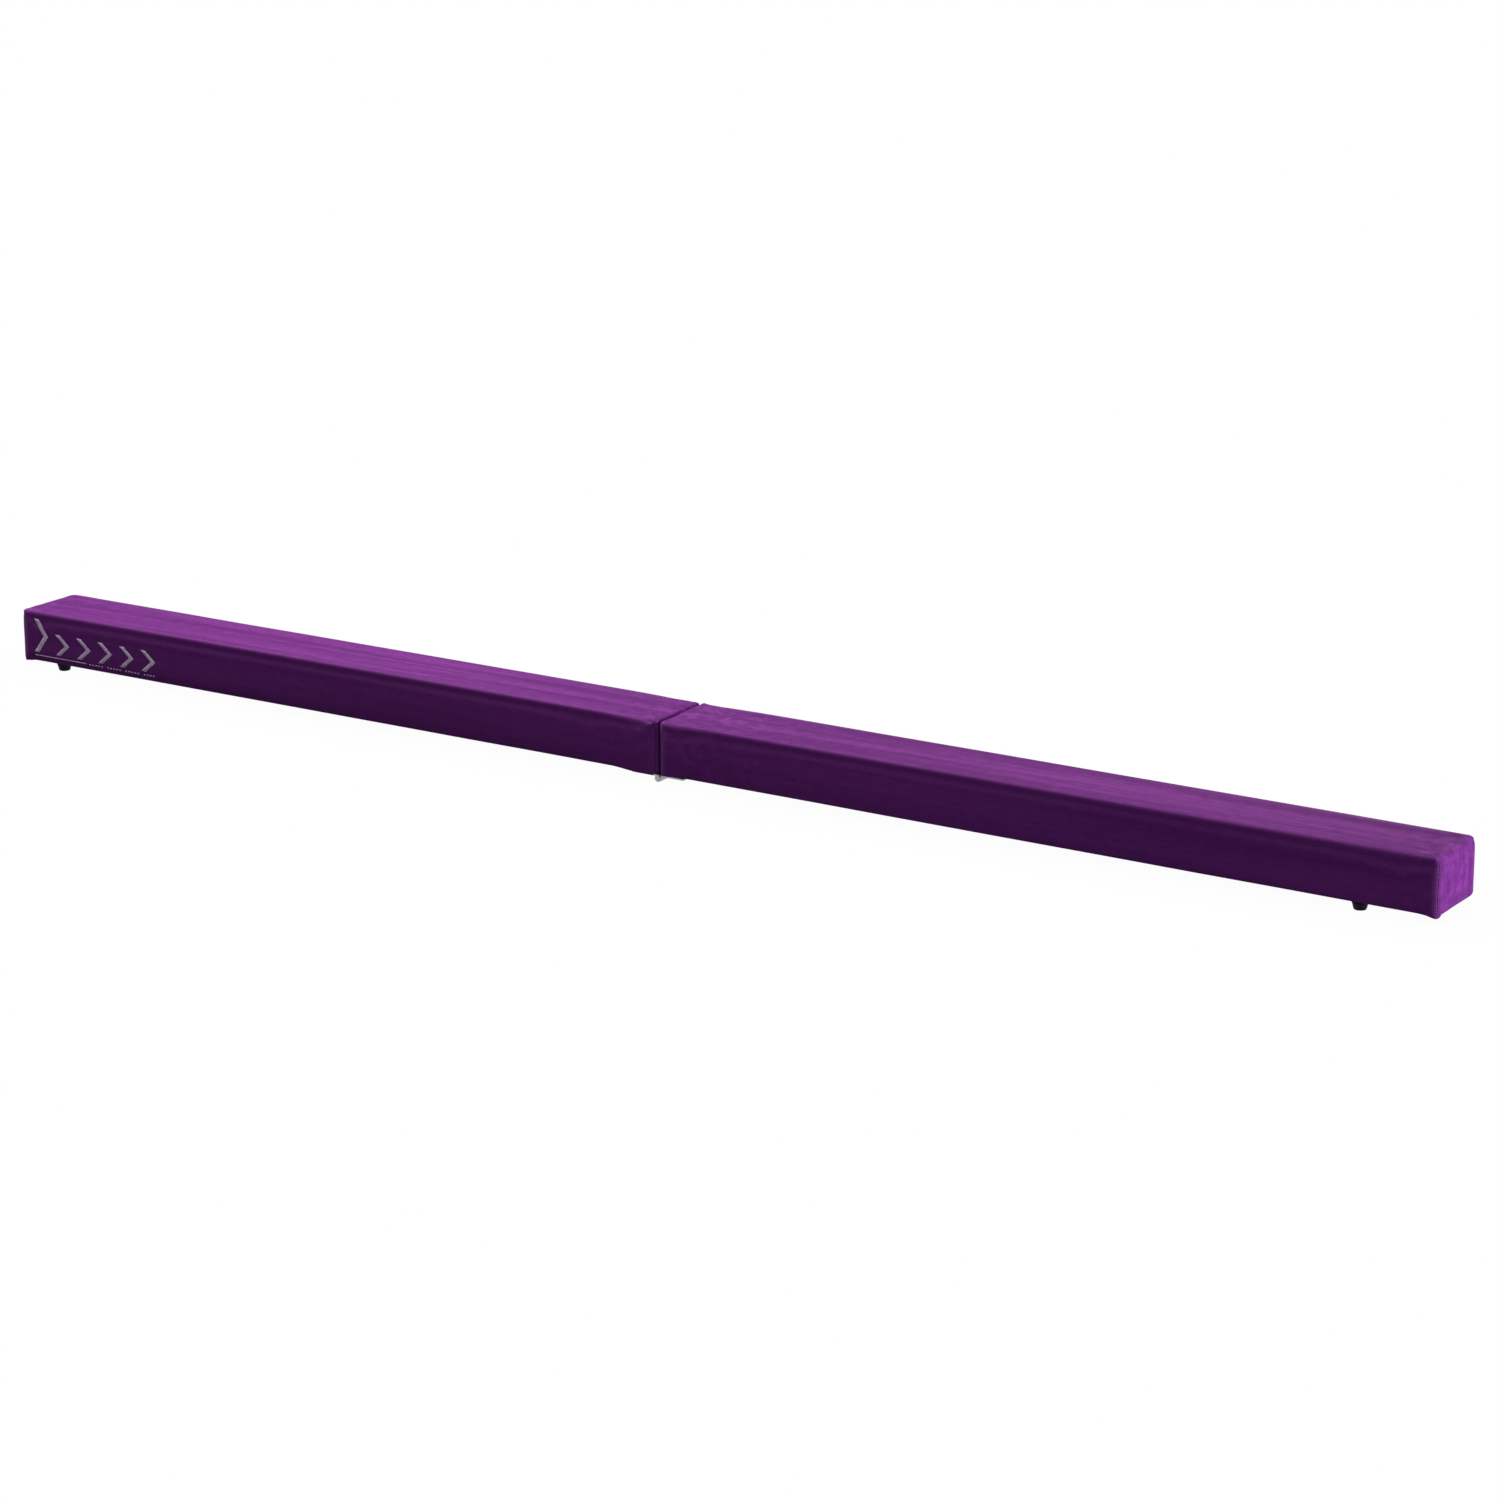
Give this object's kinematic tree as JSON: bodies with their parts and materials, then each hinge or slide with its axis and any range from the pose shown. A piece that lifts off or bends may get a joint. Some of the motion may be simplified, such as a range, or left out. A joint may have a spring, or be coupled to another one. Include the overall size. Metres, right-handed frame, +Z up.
{
  "type": "folding balance beam",
  "caption": "Low padded floor beam for gymnastics practice, suede-covered, in halves that fold underside to underside on a hinge under the joint.",
  "frame": {"origin": "under the joint, at the middle of the beam's length and width, on the plane of the feet's soles", "axes": "+X along the beam from the left half to the right half, +Y across it from front to rear, +Z up"},
  "size_m": [2.1, 0.105, 0.08],
  "materials": {
    "suede": "matte",
    "foam": "matte",
    "pine": "matte",
    "lining_cloth": "matte",
    "foot_rubber": "matte",
    "zinc_steel": "satin"
  },
  "bodies": {
    "left_half": {"left_suede_cover": "suede", "left_foam_wrap": "foam", "left_foam_inner_pad": "foam", "left_foam_outer_pad": "foam", "left_core_top_plank": "pine", "left_core_bottom_plank": "pine", "left_core_front_rail": "pine", "left_core_rear_rail": "pine", "left_core_hinge_block": "pine", "left_core_middle_block": "pine", "left_core_outer_block": "pine", "left_underside_cloth": "lining_cloth", "left_front_foot": "foot_rubber", "left_rear_foot": "foot_rubber", "left_front_foot_washer": "zinc_steel", "left_rear_foot_washer": "zinc_steel", "left_front_foot_screw": "zinc_steel", "left_rear_foot_screw": "zinc_steel", "left_hinge_leaf": "zinc_steel", "left_hinge_screw_1": "zinc_steel", "left_hinge_screw_2": "zinc_steel", "left_hinge_screw_3": "zinc_steel", "left_hinge_screw_4": "zinc_steel", "hinge_pin": "zinc_steel"},
    "right_half": {"right_suede_cover": "suede", "right_foam_wrap": "foam", "right_foam_inner_pad": "foam", "right_foam_outer_pad": "foam", "right_core_top_plank": "pine", "right_core_bottom_plank": "pine", "right_core_front_rail": "pine", "right_core_rear_rail": "pine", "right_core_hinge_block": "pine", "right_core_middle_block": "pine", "right_core_outer_block": "pine", "right_underside_cloth": "lining_cloth", "right_front_foot": "foot_rubber", "right_rear_foot": "foot_rubber", "right_front_foot_washer": "zinc_steel", "right_rear_foot_washer": "zinc_steel", "right_front_foot_screw": "zinc_steel", "right_rear_foot_screw": "zinc_steel", "right_hinge_leaf": "zinc_steel", "right_hinge_screw_1": "zinc_steel", "right_hinge_screw_2": "zinc_steel", "right_hinge_screw_3": "zinc_steel", "right_hinge_screw_4": "zinc_steel"}
  },
  "joints": [
    {"name": "fold", "type": "hinge", "parent": "left_half", "child": "right_half", "pos_m": [0, 0, 0.00485], "axis": [0, 1, 0], "range_deg": [0, 180]}
  ]
}
